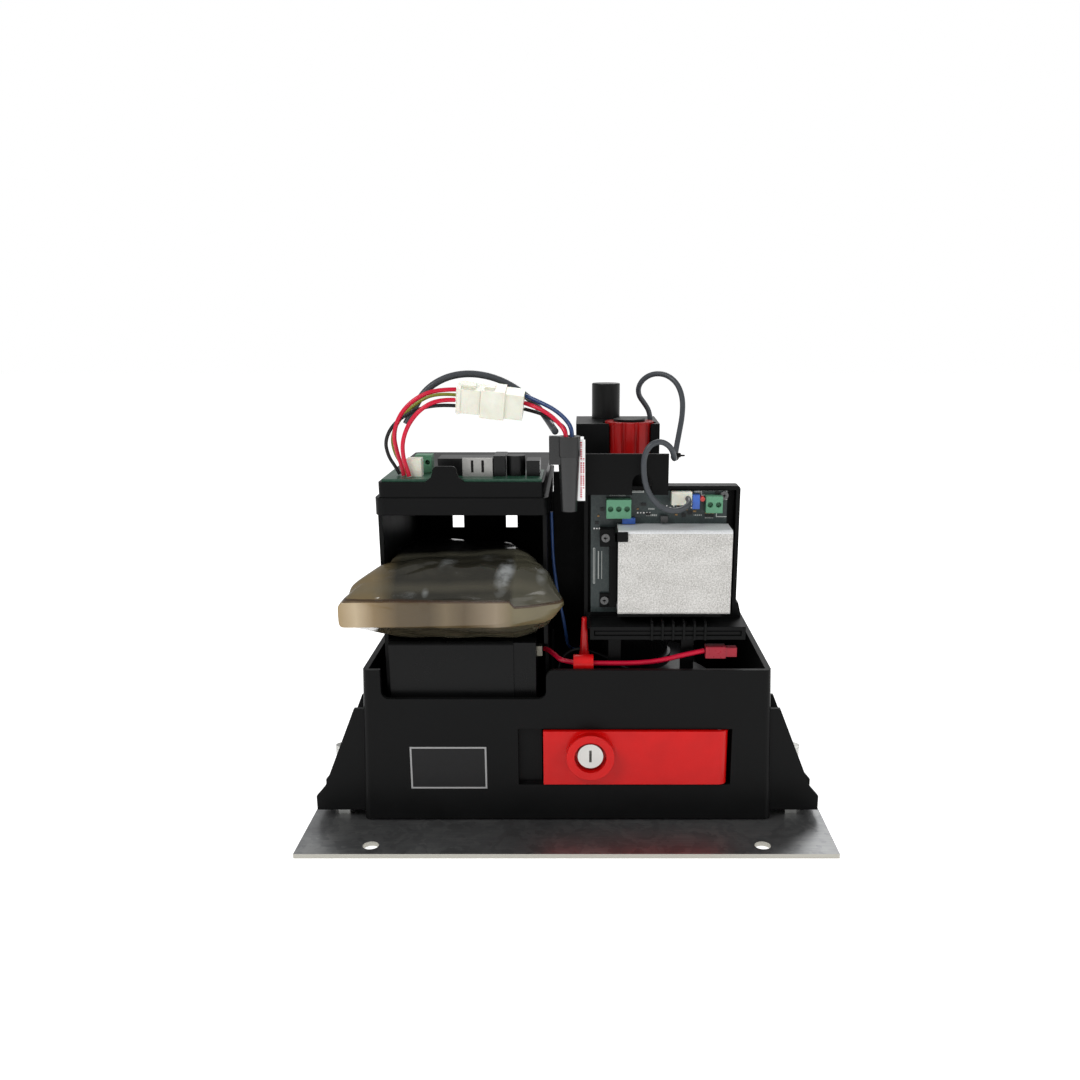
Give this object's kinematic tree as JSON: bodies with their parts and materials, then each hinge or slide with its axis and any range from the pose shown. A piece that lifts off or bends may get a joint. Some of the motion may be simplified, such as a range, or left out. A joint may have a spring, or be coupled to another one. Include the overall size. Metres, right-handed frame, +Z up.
{
  "type": "sliding gate motor",
  "caption": "Sliding gate motor with its cover off: worm gearbox, motor, battery, control trays, charger and key-locked release lever on a steel foundation plate.",
  "frame": {"origin": "centre of the foundation plate's underside", "axes": "+X to the right seen from the front, +Y towards the gate at the back, +Z up"},
  "size_m": [0.331, 0.253, 0.2839],
  "materials": {
    "galvanised_plate": "spangled zinc",
    "zinc_fastener": "bright zinc",
    "black_moulding": "satin",
    "grey_label": "printed film",
    "red_gloss": "gloss",
    "nickel": "polished nickel",
    "battery_case": "satin",
    "tinned_brass": "tinned",
    "circuit_board": "solder mask",
    "raw_aluminium": "milled",
    "black_casting": "semi_gloss",
    "green_terminal": "satin",
    "natural_plastic": "satin",
    "board_parts": "satin",
    "charger_parts": "satin",
    "bearing_steel": "ground",
    "seal_rubber": "matt",
    "bronze": "hobbed",
    "hard_steel": "ground",
    "black_can": "satin paint",
    "laminations": "varnished",
    "clear_pouch": "clear film",
    "red_boot": "moulded",
    "lead_red": "extruded",
    "lead_black": "extruded",
    "lead_blue": "extruded",
    "lead_green": "extruded",
    "grey_sheath": "extruded"
  },
  "bodies": {
    "frame": {"mounting_plate": "galvanised_plate", "mounting_studs": "zinc_fastener", "stud_nuts": "zinc_fastener", "base_housing": "black_moulding", "rating_plate": "grey_label", "hinge_pin": "hard_steel", "battery": "battery_case", "battery_terminals": "tinned_brass", "battery_frame": "black_moulding", "lower_tray": "black_moulding", "control_tray": "black_moulding", "control_board": "circuit_board", "board_heat_sink": "raw_aluminium", "board_components": "board_parts", "board_header": "natural_plastic", "board_terminals": "green_terminal", "charger_tray": "black_moulding", "charger_board": "circuit_board", "charger_heat_sink": "raw_aluminium", "charger_terminals": "green_terminal", "charger_components": "charger_parts", "charger_socket": "natural_plastic", "charger_clips": "black_moulding", "gearbox_housing": "black_casting", "gearbox_cover": "black_casting", "gearbox_bearings": "bearing_steel", "output_seal": "seal_rubber", "motor_can": "black_can", "motor_top_block": "black_moulding", "cover_post": "black_moulding", "front_panel": "black_moulding", "fuse_sleeve": "black_moulding", "oil_pouch": "clear_pouch", "terminal_boots": "red_boot", "wire_black": "lead_black", "wire_red_upper": "lead_red", "wire_green": "lead_green", "wire_red_lower": "lead_red", "cable_sheath": "grey_sheath", "wire_blue": "lead_blue", "wire_red_right": "lead_red", "wire_black_right": "lead_black", "sensor_cable": "grey_sheath", "battery_lead_red": "lead_red", "battery_lead_black": "lead_black", "drop_wire_blue": "lead_blue", "connector_left": "natural_plastic", "connector_right": "natural_plastic", "spade_connector": "red_gloss"},
    "lever": {"release_lever": "red_gloss"},
    "lock": {"lock_cylinder": "nickel"},
    "output": {"worm_wheel": "bronze", "output_shaft": "hard_steel", "drive_pinion": "hard_steel", "pinion_screw": "zinc_fastener"},
    "motor": {"motor_armature": "laminations", "worm_shaft": "hard_steel", "hand_wheel": "red_gloss", "encoder_disc": "black_moulding"},
    "clutch": {"release_clutch": "hard_steel"}
  },
  "joints": [
    {"name": "lever_swing", "type": "hinge", "parent": "frame", "child": "lever", "pos_m": [0.096, -0.077, 0.047], "axis": [0, 0, 1], "range_deg": [0, 90]},
    {"name": "lock_turn", "type": "hinge", "parent": "lever", "child": "lock", "pos_m": [0.0147, -0.077, 0.05], "axis": [0, 1, 0], "range_deg": [0, 90]},
    {"name": "output_spin", "type": "hinge", "parent": "frame", "child": "output", "pos_m": [0.075, 0, 0.047], "axis": [0, 1, 0], "continuous": true},
    {"name": "motor_spin", "type": "hinge", "parent": "frame", "child": "motor", "pos_m": [0.04, -0.008, 0.047], "axis": [0, 0, 1], "continuous": true},
    {"name": "clutch_slide", "type": "slide", "parent": "output", "child": "clutch", "axis": [0, -1, 0], "range_m": [0, 0.006]}
  ],
  "couplings": [
    {"joint": "motor_spin", "follows": "output_spin", "ratio": -26},
    {"joint": "clutch_slide", "follows": "lever_swing", "m_per_rad": 0.0038197}
  ]
}
